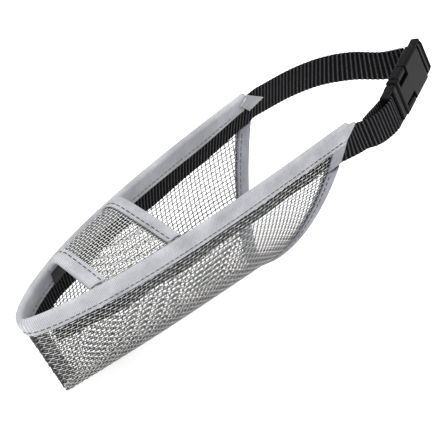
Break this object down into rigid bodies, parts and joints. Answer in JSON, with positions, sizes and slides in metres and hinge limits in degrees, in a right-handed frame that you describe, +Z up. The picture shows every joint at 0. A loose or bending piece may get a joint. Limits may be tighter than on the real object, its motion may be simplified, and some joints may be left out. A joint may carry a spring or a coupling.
{
  "type": "mesh grooming muzzle",
  "caption": "Soft open-mesh dog muzzle: a tape-bound mesh trough with a band over the snout and a webbing neck strap closed by a side-release buckle.",
  "frame": {"origin": "middle of the rim at the nose end, where the snout's tip lies", "axes": "+X from the nose to the neck, +Y to the wearer's right, +Z up out of the open top"},
  "size_m": [0.281, 0.0616, 0.0824],
  "materials": {
    "mesh": "open leno mesh of coated yarn",
    "tape": "ribbed woven binding tape",
    "seam_tape": "woven tape, dark grey",
    "webbing": "ribbed black webbing",
    "thread": "sewing thread",
    "buckle": "moulded acetal, fine matte"
  },
  "bodies": {
    "muzzle": {"mesh_trough": "mesh", "nose_seam_tape": "seam_tape", "rim_binding": "tape", "throat_binding": "tape", "nose_band_mesh": "mesh", "nose_band_front_binding": "tape", "nose_band_rear_binding": "tape", "left_side_webbing": "webbing", "right_side_webbing": "webbing", "left_throat_tab": "tape", "right_throat_tab": "tape", "left_tip_tab": "tape", "right_tip_tab": "tape", "left_band_patch": "seam_tape", "right_band_patch": "seam_tape", "rim_thread": "thread", "throat_thread": "thread", "nose_band_threads": "thread"},
    "neck_strap": {"right_neck_strap": "webbing", "left_strap_loop": "webbing", "plug_base": "buckle"},
    "socket": {"buckle_socket": "buckle", "strap_fold": "webbing", "strap_tail": "webbing"},
    "upper_prong": {"upper_prong": "buckle"},
    "lower_prong": {"lower_prong": "buckle"}
  },
  "joints": [
    {"name": "strap_swing", "type": "hinge", "parent": "muzzle", "child": "neck_strap", "pos_m": [0.2029, 0, 0.01755], "axis": [0, -0.9984, -0.0566], "range_deg": [-35, 40]},
    {"name": "buckle_release", "type": "slide", "parent": "neck_strap", "child": "socket", "axis": [0.9245, 0.3549, 0.1392], "range_m": [0, 0.025], "deforming": ["right_neck_strap", "upper_prong", "lower_prong"]},
    {"name": "upper_prong_flex", "type": "hinge", "parent": "neck_strap", "child": "upper_prong", "pos_m": [0.24167, -0.01834, 0.0236], "axis": [-0.2965, 0.899, -0.3224], "range_deg": [0, 8], "stiffness_Nm_per_rad": 0.05},
    {"name": "lower_prong_flex", "type": "hinge", "parent": "neck_strap", "child": "lower_prong", "pos_m": [0.2445, -0.02137, 0.01255], "axis": [0.2965, -0.899, 0.3224], "range_deg": [0, 8], "stiffness_Nm_per_rad": 0.05}
  ]
}
